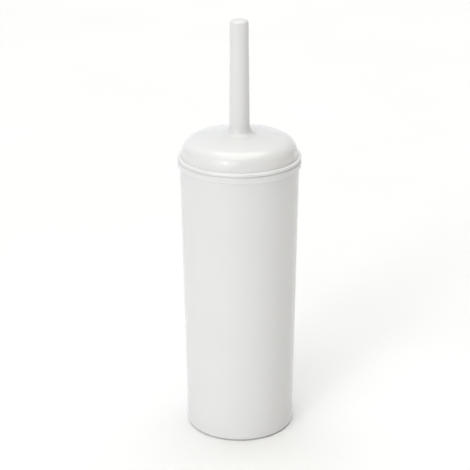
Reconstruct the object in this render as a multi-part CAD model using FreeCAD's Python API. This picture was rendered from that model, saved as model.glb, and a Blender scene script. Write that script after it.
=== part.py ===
import FreeCAD, Part
import math
import os

from FreeCAD import Placement, Rotation, Vector

# Closed toilet brush holder: a tall tapered holder with a drip cup, and a brush whose domed lid covers it.
#
# Millimetres, +Z up, origin on the floor at the centre of the holder. Every piece is a solid of its own.
# The holder stands on a soft ring. The drip cup stands loose inside it. The lid rests on the holder's rim
# and turns freely on the shank's neck, held between the handle's foot and the shank's collar. The brush
# head screws into the shank's socket against a rubber washer, so that a worn head can be replaced.

UP = Vector(0, 0, 1)
ORIGIN = Vector(0, 0, 0)

# Holder body: a tapered moulded tube with a rim band and a closed floor.
base_radius = 46.2
body_top_radius = 50.0
body_top = 236.2
body_wall = 2.0
base_rounding = 1.9
foot_gap = 0.6
floor_underside = 3.0
floor_top = 5.0
floor_rounding = 1.5
rim_radius = 51.7
rim_top = 242.4
rim_slope = 0.6
rim_top_rounding = 1.8
rim_under_rounding = 0.8
mouth_rounding = 0.6

# Soft ring pressed into a groove under the floor.
soft_ring_inner = 40.3
soft_ring_outer = 43.4
soft_ring_rounding = 0.5
keeper_wall = 1.8

# Drip cup, with radial ribs on its floor that hold the bristle tips clear of the drips.
cup_base_radius = 41.4
cup_top_radius = 42.6
cup_rim_radius = 43.4
cup_rim_height = 1.6
cup_rim_slope = 0.8
cup_top = 54.0
cup_wall = 1.5
cup_base_rounding = 1.4
cup_rim_rounding = 0.6
cup_rib_start = 9.0
cup_rib_length = 26.0
cup_rib_width = 1.2
cup_rib_height = 2.0
cup_rib_count = 8

# Lid: a shallow crown, a round shoulder, a flange and a skirt that hangs inside the holder's mouth.
crown_radius = 182.0
crown_top = 264.4
lid_wall_radius = 48.8
lid_thickness = 2.0
shoulder_bottom = 246.0
shoulder_end_radius = 37.9
shoulder_fullness = 0.55
flange_radius = 51.6
flange_thickness = 2.6
flange_rounding = 1.1
skirt_radius = 47.2
skirt_bottom = 231.0
skirt_wall = 1.7
skirt_root = 1.8
skirt_rounding = 0.5
lid_rib_count = 8
lid_rib_width = 1.4
lid_rib_reach = 37.0
lid_rib_bottom = 253.0
boss_radius = 9.2
boss_bottom = 251.0
neck_bore = 6.08

# Handle: a hollow tapered grip with a closed round top and a trumpet-shaped foot let into the lid.
foot_radius = 13.5
foot_rim = 0.7
foot_recess_gap = 0.1
foot_flare_height = 9.0
foot_flare_controls = ((10.6, 0.8), (8.5, 3.4))
grip_base_radius = 8.5
grip_top_radius = 7.65
grip_shoulder = 356.9
handle_top = 360.0
handle_top_controls = ((7.6, 359.1), (5.05, 360.0))
handle_bore = 5.5
bore_top = 352.0
bore_end_slope = 2.0

# Shank: spigot up the handle, neck, collar, cross-shaped rod and threaded socket.
spigot_top = 312.0
spigot_rounding = 1.0
neck_radius = 6.0
neck_play = 0.2
collar_radius = 10.5
collar_thickness = 3.0
rod_top_radius = 6.4
rod_base_radius = 7.4
rod_core = 3.6
web = 2.6
flute_bottom_margin = 5.0
flute_top_margin = 6.0
socket_radius = 10.0
socket_bottom = 104.6
socket_top = 126.0
socket_slope = 5.0
socket_rounding = 0.8
socket_depth = 11.0
socket_lead_in = 1.6

# Screw joint between socket and head: a coarse right-hand thread.
pitch = 3.0
stud_core = 4.6
stud_crest = 5.9
stud_length = 8.9
stud_point = 1.2
ridge_root = 1.7
ridge_crest = 0.9
ridge_sunk = 0.2
thread_gap = 0.22

# Washer and brush head.
washer_inner = 6.3
washer_outer = 9.6
washer_thickness = 1.5
head_shoulder = socket_bottom - washer_thickness
stud_top = socket_bottom + stud_length
hub_radius = 15.0
hub_dome_centre = 58.0
hub_cylinder_top = 97.5
hub_rim = 1.2
head_radius = 38.0
row_spacing = 6.0
first_row = 59.0
cylinder_rows = 7
tufts_per_row = 15
dome_rows = ((24.0, 14), (46.0, 10), (68.0, 6), (90.0, 1))
dome_row_turn = 0.25

# Tuft: a root in a blind hole, held down by a flat wire staple, and bristles that fan out to the tip.
tuft_hole = 1.4
tuft_hole_depth = 6.0
tuft_gap = 0.04
tuft_tip = 2.8
tuft_tip_edge = 1.0
tuft_tip_crown = 0.2
anchor_width = 2.2
anchor_thickness = 0.4
anchor_height = 1.5

# Small overlaps that make two shapes of one moulding join cleanly.
bite = 0.3
overshoot = 1.0


def outline_face(start, *steps):
    """Closed face in the XZ plane. A step is an end point, or control points and the end of a curve."""
    edges = []
    here = Vector(start[0], 0, start[1])
    for step in steps + (start,):
        if isinstance(step[0], tuple):
            poles = [here] + [Vector(r, 0, z) for r, z in step]
            curve = Part.BezierCurve()
            curve.setPoles(poles)
            edges.append(curve.toShape())
            here = poles[-1]
        else:
            end = Vector(step[0], 0, step[1])
            if end.distanceToPoint(here) > 1e-6:
                edges.append(Part.LineSegment(here, end).toShape())
            here = end
    return Part.Face(Part.Wire(edges))


def lathe(start, *steps):
    """Solid turned about Z from an outline of (radius, height) points."""
    return outline_face(start, *steps).revolve(ORIGIN, UP, 360)


def drum(radius, bottom, top):
    """Plain upright cylinder about Z."""
    return Part.makeCylinder(radius, top - bottom, Vector(0, 0, bottom))


def round_edges(shape, rounding, *circles):
    """Rounds the circular edges about Z that have these (radius, height) pairs."""
    chosen = []
    for edge in shape.Edges:
        if edge.Degenerated or not isinstance(edge.Curve, Part.Circle):
            continue
        for r, z in circles:
            if abs(edge.Curve.Radius - r) < 0.01 and abs(edge.Curve.Center.z - z) < 0.01:
                chosen.append(edge)
    return shape.makeFillet(rounding, chosen)


def spokes(shape, count):
    """Copies of a shape spread evenly about Z."""
    copies = []
    for index in range(count):
        copy = shape.copy()
        copy.rotate(ORIGIN, UP, 360.0 * index / count)
        copies.append(copy)
    return copies


def body_radius(z):
    """Outer radius of the holder's tapered wall at height z."""
    return base_radius + (body_top_radius - base_radius) * z / body_top


def holder_shell():
    """Tapered tube with a rim band, a floor and a groove under it for the soft ring."""
    foot = (body_radius(foot_gap), foot_gap)
    rim_under = (rim_radius, body_top + rim_slope)
    mouth = (body_radius(rim_top) - body_wall, rim_top)
    floor_edge = (body_radius(floor_top) - body_wall, floor_top)
    shell = lathe(
        (0, floor_underside),
        (soft_ring_inner - keeper_wall, floor_underside),
        (soft_ring_inner - keeper_wall, foot_gap),
        (soft_ring_inner, foot_gap),
        (soft_ring_inner, floor_underside),
        (soft_ring_outer, floor_underside),
        (soft_ring_outer, foot_gap),
        foot,
        (body_top_radius, body_top),
        rim_under,
        (rim_radius, rim_top),
        mouth,
        floor_edge,
        (0, floor_top),
    )
    shell = round_edges(shell, base_rounding, foot)
    shell = round_edges(shell, rim_top_rounding, (rim_radius, rim_top))
    shell = round_edges(shell, rim_under_rounding, rim_under)
    shell = round_edges(shell, mouth_rounding, mouth)
    return round_edges(shell, floor_rounding, floor_edge)


def anti_slip_ring():
    """Soft ring that the holder stands on."""
    ring = drum(soft_ring_outer, 0, floor_underside).cut(drum(soft_ring_inner, 0, floor_underside))
    return round_edges(ring, soft_ring_rounding, (soft_ring_outer, 0), (soft_ring_inner, 0))


def drip_cup():
    """Loose cup that catches the drips."""
    floor = floor_top + cup_wall
    lip = (cup_top_radius - cup_wall, cup_top)
    cup = lathe(
        (0, floor_top),
        (cup_base_radius, floor_top),
        (cup_top_radius, cup_top - cup_rim_height - cup_rim_slope),
        (cup_rim_radius, cup_top - cup_rim_height),
        (cup_rim_radius, cup_top),
        lip,
        (cup_base_radius - cup_wall, floor),
        (0, floor),
    )
    cup = round_edges(cup, cup_base_rounding, (cup_base_radius, floor_top))
    cup = round_edges(cup, cup_rim_rounding, (cup_rim_radius, cup_top), lip)
    corner = Vector(cup_rib_start, -cup_rib_width / 2, floor - bite)
    rib = Part.makeBox(cup_rib_length, cup_rib_width, cup_rib_height + bite, corner)
    return cup.fuse(spokes(rib, cup_rib_count)).removeSplitter()


def crown_height(radius, inset=0.0):
    """Height of the lid's crown at this radius, or of a surface this far inside it."""
    sphere = crown_radius - inset
    return crown_top - crown_radius + math.sqrt(sphere**2 - radius**2)


def crown_control(inner_radius, outer_radius, inset=0.0):
    """Control point of the crown's curve between two radii."""
    drop = 0.5 * inner_radius * outer_radius / (crown_radius - inset)
    return (inner_radius + outer_radius) / 2, crown_height(0, inset) - drop


def shoulder(inset=0.0):
    """Start, two control points and end of the curve from the lid's upright wall to its crown."""
    start = (lid_wall_radius - inset, shoulder_bottom)
    end = (shoulder_end_radius, crown_height(shoulder_end_radius, inset))
    reach = shoulder_fullness * (start[0] - end[0])
    rise = shoulder_fullness * (end[1] - start[1])
    crown_slope = end[0] / (crown_radius - inset)
    return start, (start[0], start[1] + rise), (end[0] + reach, end[1] - reach * crown_slope), end


def lid_ribs(boss_root):
    """Stiffening ribs between the lid's boss and its shoulder."""
    crown_edge = crown_height(lid_rib_reach, lid_thickness)
    space = lathe(
        (boss_radius - bite, lid_rib_bottom),
        (lid_rib_reach, lid_rib_bottom),
        (lid_rib_reach, crown_edge + bite),
        (boss_radius - bite, boss_root + bite),
    )
    corner = Vector(0, -lid_rib_width / 2, lid_rib_bottom)
    plate = Part.makeBox(lid_rib_reach, lid_rib_width, crown_top - lid_rib_bottom, corner)
    return [rib.common(space) for rib in spokes(plate, lid_rib_count)]


def foot_bottom():
    """Height of the underside of the handle's foot, set so that its rim lies flush with the crown."""
    return crown_height(foot_radius) - foot_rim


def lid():
    """Domed moulding with flange, skirt, central boss and ribs, open underneath."""
    flange_top = rim_top + flange_thickness
    recess = foot_radius + foot_recess_gap
    boss_root = crown_height(boss_radius, lid_thickness)
    outer_start, outer_rising, outer_flattening, outer_end = shoulder()
    inner_start, inner_rising, inner_flattening, inner_end = shoulder(lid_thickness)
    shell = lathe(
        (neck_bore, boss_bottom),
        (boss_radius, boss_bottom),
        (boss_radius, boss_root),
        (crown_control(boss_radius, shoulder_end_radius, lid_thickness), inner_end),
        (inner_flattening, inner_rising, inner_start),
        (skirt_radius - skirt_wall, rim_top + skirt_root),
        (skirt_radius - skirt_wall, skirt_bottom),
        (skirt_radius, skirt_bottom),
        (skirt_radius, rim_top),
        (flange_radius, rim_top),
        (flange_radius, flange_top),
        (lid_wall_radius, flange_top),
        outer_start,
        (outer_rising, outer_flattening, outer_end),
        (crown_control(recess, shoulder_end_radius), (recess, crown_height(recess))),
        (recess, foot_bottom()),
        (neck_bore, foot_bottom()),
    )
    shell = round_edges(shell, flange_rounding, (flange_radius, flange_top))
    shell = round_edges(shell, skirt_rounding, (flange_radius, rim_top), (skirt_radius, skirt_bottom))
    return shell.fuse(lid_ribs(boss_root)).removeSplitter()


def handle():
    """Hollow tapered grip that flares out to the foot and is closed by a round top."""
    bottom = foot_bottom()
    rim = bottom + foot_rim
    flare = tuple((r, rim + rise) for r, rise in foot_flare_controls)
    return lathe(
        (handle_bore, bottom),
        (foot_radius, bottom),
        (foot_radius, rim),
        flare + ((grip_base_radius, rim + foot_flare_height),),
        (grip_top_radius, grip_shoulder),
        handle_top_controls + ((0, handle_top),),
        (0, bore_top),
        (handle_bore, bore_top - bore_end_slope),
    )


def thread_ridge(crest_radius, extra_width, bottom, turns):
    """Right-handed helical ridge of trapezoid section about Z, starting on +X at this height."""
    root_radius = stud_core - ridge_sunk
    half_root = (ridge_root + extra_width) / 2
    half_crest = (ridge_crest + extra_width) / 2
    corners = [
        Vector(root_radius, 0, -half_root),
        Vector(crest_radius, 0, -half_crest),
        Vector(crest_radius, 0, half_crest),
        Vector(root_radius, 0, half_root),
    ]
    section = Part.makePolygon(corners + corners[:1])
    helix = Part.makeHelix(pitch, pitch * turns, root_radius)
    ridge = Part.Wire(helix).makePipeShell([section], True, True)
    ridge.translate(Vector(0, 0, bottom))
    return ridge


def stud_thread():
    """Male thread of the brush head."""
    turns = (stud_length - stud_point - ridge_root / 2) / pitch
    return thread_ridge(stud_crest, 0.0, socket_bottom, turns)


def socket_space():
    """Space inside the socket: a bore, a lead-in cone and the thread's groove, with clearance all round."""
    below = socket_bottom - overshoot
    end = socket_bottom + socket_depth
    bore = drum(stud_core + 1.5 * thread_gap, below, end)
    lead_in = lathe(
        (0, socket_bottom),
        (stud_crest + 3 * thread_gap, socket_bottom),
        (stud_core, socket_bottom + socket_lead_in),
        (0, socket_bottom + socket_lead_in),
    )
    spare_turns = 2
    ridge = thread_ridge(
        stud_crest + thread_gap,
        2 * thread_gap,
        socket_bottom - spare_turns * pitch,
        socket_depth / pitch + spare_turns + 1,
    )
    groove = ridge.common(drum(socket_radius, below, end))
    return [bore, lead_in, groove]


def rod_flutes(bottom, top):
    """The four corners taken out of the round rod, which leave a cross round its core."""
    flute = Part.makeBox(socket_radius, socket_radius, top - bottom, Vector(web / 2, web / 2, bottom))
    return spokes(flute.cut(drum(rod_core, bottom - overshoot, top + overshoot)), 4)


def shank():
    """Spigot, neck, collar, cross-shaped rod and threaded socket, in one moulding."""
    collar_top = boss_bottom - neck_play
    collar_bottom = collar_top - collar_thickness
    neck_top = foot_bottom()
    rod = lathe(
        (0, socket_bottom),
        (socket_radius, socket_bottom),
        (socket_radius, socket_top - socket_slope),
        (rod_base_radius, socket_top),
        (rod_top_radius, collar_bottom),
        (collar_radius, collar_bottom),
        (collar_radius, collar_top),
        (neck_radius, collar_top),
        (neck_radius, neck_top),
        (handle_bore, neck_top),
        (handle_bore, spigot_top),
        (0, spigot_top),
    )
    rod = round_edges(rod, socket_rounding, (collar_radius, collar_bottom), (socket_radius, socket_bottom))
    rod = round_edges(rod, spigot_rounding, (handle_bore, spigot_top))
    flutes = rod_flutes(socket_top + flute_bottom_margin, collar_bottom - flute_top_margin)
    return rod.cut(flutes).cut(socket_space())


def head_washer():
    """Flat rubber washer between the socket and the head."""
    disc = drum(washer_outer, head_shoulder, socket_bottom)
    return disc.cut(drum(washer_inner, head_shoulder, socket_bottom))


def ring_of_seats(below, centre_height, count, turn):
    """Tuft seats round the hub: (point on its surface, outward direction), this angle below level."""
    seats = []
    for index in range(count):
        angle = 2 * math.pi * (index + turn) / count
        level = math.cos(below)
        out = Vector(level * math.cos(angle), level * math.sin(angle), -math.sin(below))
        seats.append((out * hub_radius + Vector(0, 0, centre_height), out))
    return seats


def tuft_rows():
    """Every ring of tuft seats, from the top of the hub down."""
    rows = []
    for row in reversed(range(cylinder_rows)):
        stagger = 0.5 * (row % 2)
        rows.append(ring_of_seats(0.0, first_row + row * row_spacing, tufts_per_row, stagger))
    for degrees, count in dome_rows:
        rows.append(ring_of_seats(math.radians(degrees), hub_dome_centre, count, dome_row_turn))
    return rows


def planted(shape, seats):
    """Copies of a shape drawn along +Z from the origin, one set into each seat."""
    copies = []
    for point, direction in seats:
        copy = shape.copy()
        copy.Placement = Placement(point, Rotation(UP, direction))
        copies.append(copy)
    return copies


def head_core(seats):
    """Hub with a blind hole for every tuft, and the threaded stud on top."""
    column = lathe(
        (0, hub_dome_centre),
        (hub_radius, hub_dome_centre),
        (hub_radius, hub_cylinder_top),
        (washer_outer, head_shoulder - hub_rim),
        (washer_outer, head_shoulder),
        (stud_core, head_shoulder),
        (stud_core, stud_top - stud_point),
        (stud_core - 1.0, stud_top),
        (0, stud_top),
    )
    dome = Part.makeSphere(hub_radius, Vector(0, 0, hub_dome_centre))
    hub = column.fuse(stud_thread()).fuse(dome).removeSplitter()
    return hub.cut(planted(drum(tuft_hole, -tuft_hole_depth, overshoot), seats))


def tuft():
    """One tuft along +Z: its root in the hole and its bristles fanning out to the tip."""
    root = tuft_hole - tuft_gap
    root_end = anchor_height - tuft_hole_depth
    length = head_radius - hub_radius
    return lathe(
        (0, root_end),
        (root, root_end),
        (root, 0),
        (tuft_tip, length - tuft_tip_edge),
        (0.7 * tuft_tip, length - tuft_tip_crown),
        (0, length),
    )


def anchor():
    """Flat wire staple at the bottom of a tuft's hole."""
    corner = Vector(-anchor_width / 2, -anchor_thickness / 2, -tuft_hole_depth)
    return Part.makeBox(anchor_width, anchor_thickness, anchor_height, corner)


def save(name, shape):
    """Writes one sub-part, and prints whether it is sound."""
    solids = len(shape.Solids)
    print(f"{name:18s} solids {solids:4d}  valid {shape.isValid()}  volume {shape.Volume:10.1f}")
    shape.exportStep(f"parts/{name}.step")


def main():
    os.makedirs("parts", exist_ok=True)
    rows = tuft_rows()
    every_seat = [seat for row in rows for seat in row]
    save("holder_shell", holder_shell())
    save("anti_slip_ring", anti_slip_ring())
    save("drip_cup", drip_cup())
    save("lid", lid())
    save("handle", handle())
    save("shank", shank())
    save("head_washer", head_washer())
    save("head_core", head_core(every_seat))
    for number, seats in enumerate(rows, 1):
        name = f"bristle_row_{number}" if number < len(rows) else "crown_tuft"
        save(name, Part.makeCompound(planted(tuft(), seats)))
    save("tuft_anchors", Part.makeCompound(planted(anchor(), every_seat)))


main()
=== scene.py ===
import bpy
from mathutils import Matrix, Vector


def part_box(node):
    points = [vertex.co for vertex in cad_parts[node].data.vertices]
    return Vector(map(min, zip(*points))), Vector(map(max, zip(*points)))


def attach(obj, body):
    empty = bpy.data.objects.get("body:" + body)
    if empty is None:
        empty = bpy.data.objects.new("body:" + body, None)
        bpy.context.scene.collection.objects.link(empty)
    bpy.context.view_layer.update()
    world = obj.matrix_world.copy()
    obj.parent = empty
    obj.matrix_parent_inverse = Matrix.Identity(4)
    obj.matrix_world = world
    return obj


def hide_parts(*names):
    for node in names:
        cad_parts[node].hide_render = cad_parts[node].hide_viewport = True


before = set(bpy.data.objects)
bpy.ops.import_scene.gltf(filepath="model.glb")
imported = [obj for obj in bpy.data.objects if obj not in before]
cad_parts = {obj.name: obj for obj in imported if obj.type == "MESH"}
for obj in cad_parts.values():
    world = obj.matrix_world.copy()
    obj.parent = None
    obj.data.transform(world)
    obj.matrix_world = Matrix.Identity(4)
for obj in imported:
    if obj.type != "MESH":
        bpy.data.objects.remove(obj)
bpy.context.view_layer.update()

import math

import bmesh
import bpy
from bpy.props import FloatProperty, FloatVectorProperty, IntProperty, PointerProperty
from mathutils import Matrix, Vector

bl_info = {
    "name": "Closed toilet brush holder",
    "version": (1, 0, 0),
    "blender": (4, 5, 0),
    "location": "View3D > Sidebar > Brush set",
    "description": "Builds a tapered holder, its drip cup and a brush with a domed lid on the loaded frame",
    "category": "Add Mesh",
}

# The frame is in metres, with +Z up and its origin on the floor under the holder's centre.
MM = 0.001
TURN = 2 * math.pi
GOLDEN_ANGLE = math.pi * (3 - math.sqrt(5))

# Mesh quality: steps round the axis, the largest step round a rounded corner, and the narrow band of faces
# beside each corner that keeps the shading of the long face flat.
STEPS_ROUND = 192
ARC_STEP = math.radians(12)
EDGE_BAND = 0.35 * MM
SHORTEST_BANDED = 1.8 * MM
SEAM_MERGE = 0.002 * MM
SHARP_ANGLE = math.radians(40)

# Steps along the lid's crown and shoulder and the handle's curves. The ribs follow every fourth crown point.
CROWN_STEPS = 20
SHOULDER_STEPS = 26
HANDLE_STEPS = 24
RIB_STRIDE = 4

# The rows of tufts, from the top: those on the hub's straight part, then those on its round end, each with
# its slope below level in degrees and its number of tufts. A stagger is a share of the gap between tufts.
STRAIGHT_ROWS = 7
STRAIGHT_STAGGER = 0.5
ROUND_END_ROWS = ((24.0, 14), (46.0, 10), (68.0, 6), (90.0, 1))
ROUND_END_STAGGER = 0.25
SEEDS_PER_ROW = 10
BRISTLE_SIDES = 4
BRISTLE_SEGMENTS = 4

# The lights: bearing from the front towards the right, height above level and spread, in degrees, and tint.
SOFT_LIGHTS = (
    ("key", -30, 27, 48, (0.98, 0.985, 1.0)),
    ("top", 0, 90, 60, (1.0, 0.99, 0.93)),
    ("back", 180, 38, 100, (0.90, 0.93, 1.0)),
    ("side", 75, 12, 40, (1.0, 0.72, 0.4)),
    ("glint", -30, 29.5, 9, (1.0, 1.0, 1.0)),
)

# The surroundings fade from horizon to zenith between these sines of the angle above level.
FADE_START = 0.06
FADE_END = 0.26

FLOOR_HALF_WIDTH = 6.0

# The camera: millimetres of sensor and lens, metres of place and reach, and its turn in radians.
SENSOR_WIDTH = 36.0
FOCAL_LENGTH = 116.76
CAMERA_REACH = 50.0
CAMERA_PLACE = (0.0, -1.2073, 0.6451)
CAMERA_PITCH = math.radians(21.354)
CAMERA_YAW = math.radians(-0.19)
CAMERA_ROLL = math.radians(-0.183)


# ---------------------------------------------------------------- sizes and colours


def length(name, description, millimetres):
    """A length property given in millimetres and kept in metres."""
    return FloatProperty(
        name=name, description=description, default=millimetres * MM, min=0.0,
        precision=5, subtype="DISTANCE", unit="LENGTH",
    )


def colour(name, description, value):
    """A linear colour property."""
    return FloatVectorProperty(
        name=name, description=description, default=value, size=3, min=0.0, max=1.0, subtype="COLOR"
    )


def share(name, description, value):
    """A property between none and all."""
    return FloatProperty(
        name=name, description=description, default=value, min=0.0, max=1.0, subtype="FACTOR"
    )


def strength(name, description, value):
    """The strength of a light."""
    return FloatProperty(name=name, description=description, default=value, min=0.0)


def count(name, description, value):
    """A whole number property."""
    return IntProperty(name=name, description=description, default=value, min=1)


class BrushSetHolderSizes(bpy.types.PropertyGroup):
    """Sizes of the tapered holder"""

    base_radius: length("Base radius", "Outside of the tapered wall, where it would meet the floor", 46.2)
    top_radius: length("Top radius", "Outside of the tapered wall under the rim band", 50.0)
    band_bottom: length("Band bottom", "Height at which the rim band leaves the wall", 236.2)
    wall: length("Wall", "Thickness of the tapered wall", 2.0)
    floor_underside: length("Floor underside", "Height of the raised underside", 3.0)
    floor_top: length("Floor top", "Height of the floor inside", 5.0)
    keeper_wall: length("Keeper wall", "Thickness of the wall that keeps the soft ring in its groove", 1.8)
    keeper_edge: length("Keeper edge", "Rounding of the keeper's inner edges", 0.5)
    groove_edge: length("Groove edge", "Rounding of the edges beside the soft ring", 0.3)
    foot_rounding: length("Foot rounding", "Rounding of the wall's lower edge", 1.9)
    band_slope: length("Band slope", "Height of the slope under the rim band", 0.6)
    band_fillet: length("Band fillet", "Rounding where the rim band leaves the wall", 0.4)
    band_edge: length("Band edge", "Rounding of the rim band's lower edge", 0.8)
    rim_rounding: length("Rim rounding", "Rounding of the rim band's top edge", 1.8)
    mouth_edge: length("Mouth edge", "Rounding of the mouth's inner edge", 0.6)
    inner_corner: length("Inner corner", "Rounding between the wall and the floor inside", 1.5)


class BrushSetRingSizes(bpy.types.PropertyGroup):
    """Sizes of the soft ring under the holder"""

    width: length("Width", "Width of the soft ring and of its groove", 3.1)
    edge: length("Edge", "Rounding of the ring's lower edges", 0.5)
    channel_depth: length("Channel depth", "Depth of the channel round the ring's underside", 0.25)
    channel_half: length("Channel half", "Half the width of the channel", 0.4)
    channel_edge: length("Channel edge", "Rounding of the channel's edges", 0.1)


class BrushSetCupSizes(bpy.types.PropertyGroup):
    """Sizes of the drip cup"""

    base_radius: length("Base radius", "Outside of the cup at its floor", 41.4)
    top_radius: length("Top radius", "Outside of the cup under its rim", 42.6)
    rim_height: length("Rim height", "Height of the cup's rim band", 1.6)
    wall: length("Wall", "Thickness of the cup's wall and floor", 1.5)
    rib_start: length("Rib start", "Distance from the axis at which the ribs start", 9.0)
    rib_end: length("Rib end", "Distance from the axis at which the ribs end", 35.0)
    rib_width: length("Rib width", "Thickness of each rib", 1.2)
    rib_height: length("Rib height", "How far the ribs stand up from the cup's floor", 2.0)
    ribs: count("Ribs", "Number of ribs on the cup's floor", 8)
    rib_sink: length("Rib sink", "How far the ribs reach down into the floor", 0.3)
    rib_edge: length("Rib edge", "Rounding of the ribs' edges", 0.25)
    foot_rounding: length("Foot rounding", "Rounding of the cup's lower edge", 1.4)
    rim_slope: length("Rim slope", "Height of the slope under the rim band", 0.8)
    rim_edge: length("Rim edge", "Rounding of the corners under the rim band", 0.3)
    rim_rounding: length("Rim rounding", "Rounding of the rim's top edges", 0.6)
    inner_corner: length("Inner corner", "Rounding between the wall and the floor inside", 1.2)


class BrushSetLidSizes(bpy.types.PropertyGroup):
    """Sizes of the domed lid"""

    crown_radius: length("Crown radius", "Radius of the sphere that the shallow crown is part of", 182.0)
    crown_top: length("Crown top", "Height at which the crown would meet the axis", 264.4)
    wall_radius: length("Wall radius", "Outside of the upright wall above the flange", 48.8)
    shoulder_bottom: length("Shoulder bottom", "Height at which the wall starts to curve in", 246.0)
    shoulder_end: length("Shoulder end", "Distance from the axis at which the shoulder meets the crown", 37.9)
    fullness: share("Fullness", "How fully the shoulder fills the corner between wall and crown", 0.55)
    thickness: length("Thickness", "Wall thickness of the dome", 2.0)
    flange_thickness: length("Flange thickness", "Height of the flange that rests on the holder", 2.6)
    flange_rounding: length("Flange rounding", "Rounding of the flange's top edge", 1.1)
    flange_fillet: length("Flange fillet", "Rounding between the flange and the upright wall", 0.35)
    skirt_radius: length("Skirt radius", "Outside of the skirt inside the holder's mouth", 47.2)
    skirt_wall: length("Skirt wall", "Thickness of the skirt", 1.7)
    skirt_root: length("Skirt root", "Height above the rim at which the skirt runs into the dome", 1.8)
    edge: length("Edge", "Rounding of the skirt's edges and of the flange's lower edge", 0.5)
    boss_radius: length("Boss radius", "Outside of the boss that the neck turns in", 9.2)
    boss_bottom: length("Boss bottom", "Height of the boss's lower end", 251.0)
    boss_edge: length("Boss edge", "Rounding of the boss's lower edge", 0.4)
    neck_bore: length("Neck bore", "Radius of the bore that the neck turns in", 6.08)
    foot_gap: length("Foot gap", "Gap round the handle's foot where it is let into the crown", 0.1)
    rib_bottom: length("Rib bottom", "Height of the ribs' lower edge", 253.0)
    rib_reach: length("Rib reach", "Distance from the axis at which the ribs end", 37.0)
    rib_width: length("Rib width", "Thickness of each rib", 1.4)
    ribs: count("Ribs", "Number of ribs under the lid", 8)
    rib_bite: length("Rib bite", "How far the ribs reach into the dome and the boss", 0.3)
    rib_edge: length("Rib edge", "Rounding of the ribs' edges", 0.2)


class BrushSetHandleSizes(bpy.types.PropertyGroup):
    """Sizes of the hollow handle"""

    foot_rim: length("Foot rim", "Depth to which the foot is let into the lid", 0.7)
    foot_edge: length("Foot edge", "Rounding of the foot's lower edge", 0.15)
    flare_height: length("Flare height", "Height of the trumpet-shaped flare above the lid", 9.0)
    flare_run: length("Flare run", "How far in from the foot's rim the flare is pulled flat", 2.9)
    flare_lift: length("Flare lift", "How far above the lid the flare is at the end of its flat run", 0.8)
    flare_drop: length("Flare drop", "Height above the lid down to which the flare is pulled upright", 3.4)
    base_radius: length("Base radius", "Radius of the grip just above the flare", 8.5)
    top_radius: length("Top radius", "Radius of the grip just under its round top", 7.65)
    top_rounding: length("Top rounding", "Height of the rounded top", 3.1)
    top_lean: length("Top lean", "How far the round top leans in before it turns", 0.05)
    top_turn: length("Top turn", "Depth below the tip at which the round top turns in", 0.9)
    top_flat: length("Top flat", "How far in from the side the round top is pulled flat", 2.6)
    bore: length("Bore", "Radius of the hollow inside", 5.5)
    bore_top: length("Bore top", "Height at which the hollow ends", 352.0)
    bore_cone: length("Bore cone", "Height of the hollow's pointed end", 2.0)
    bore_rounding: length("Bore rounding", "Rounding under the hollow's pointed end", 1.0)


class BrushSetWasherSizes(bpy.types.PropertyGroup):
    """Sizes of the rubber washer"""

    bore: length("Bore", "Radius of the washer's hole", 6.3)
    edge: length("Edge", "Rounding of the washer's edges", 0.35)


class BrushSetBristleSizes(bpy.types.PropertyGroup):
    """Sizes and numbers of the tufts and bristles"""

    hub_radius: length("Hub radius", "Radius of the hub that the tufts stand on", 15.0)
    head_radius: length("Head radius", "Distance from the axis to the tips", 37.8)
    dome_centre: length("Dome centre", "Height of the centre of the hub's round end", 58.0)
    row_spacing: length("Row spacing", "Distance between the rows on the straight part of the hub", 6.0)
    first_row: length("First row", "Height of the lowest row on the straight part of the hub", 59.0)
    root_depth: length("Root depth", "How far the bristles run down into their holes", 4.2)
    root_radius: length("Root radius", "Radius of a tuft where it leaves the hub", 1.12)
    tip_radius: length("Tip radius", "Radius of a tuft at its tips", 2.45)
    bristle_radius: length("Bristle radius", "Radius of one bristle", 0.2)
    unevenness: length("Unevenness", "How much the tips differ in length", 0.7)
    bend: length("Bend", "How far a bristle's tip may lean out of line", 0.45)
    tufts: count("Tufts", "Tufts in a row on the straight part of the hub", 15)
    bristles: count("Bristles", "Bristles in one tuft", 34)


class BrushSetColours(bpy.types.PropertyGroup):
    """Colours of the finishes"""

    outer: colour("Outer moulding", "White of the holder, lid and handle", (0.80, 0.80, 0.80))
    inner: colour("Inner moulding", "White of the cup, shank and hub", (0.76, 0.76, 0.74))
    bristle: colour("Bristles", "White of the bristles", (0.82, 0.82, 0.79))
    soft_ring: colour("Soft ring", "Grey of the ring that the holder stands on", (0.34, 0.34, 0.33))
    washer: colour("Washer", "Black of the washer's rubber", (0.018, 0.018, 0.019))
    staple: colour("Staple wire", "Grey of the wire that anchors the tufts", (0.55, 0.55, 0.53))
    floor: colour("Floor", "Pale colour of the floor", (0.93, 0.93, 0.93))


class BrushSetStage(bpy.types.PropertyGroup):
    """Brightness of the lights and of the surroundings"""

    key: strength("Key light", "Brightness of the large soft light in front, on the left", 1.16)
    top: strength("Top light", "Brightness of the large soft light overhead", 2.1)
    back: strength("Back light", "Brightness of the very large soft light behind", 1.15)
    side: strength("Side light", "Brightness of the faint warm light on the right", 0.09)
    glint: strength("Glint", "Brightness of the small light that gives the glint on the lid's shoulder", 0.25)
    horizon: strength("Horizon", "Brightness of the surroundings near the horizon", 0.35)
    zenith: strength("Zenith", "Brightness of the surroundings overhead", 0.02)


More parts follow.
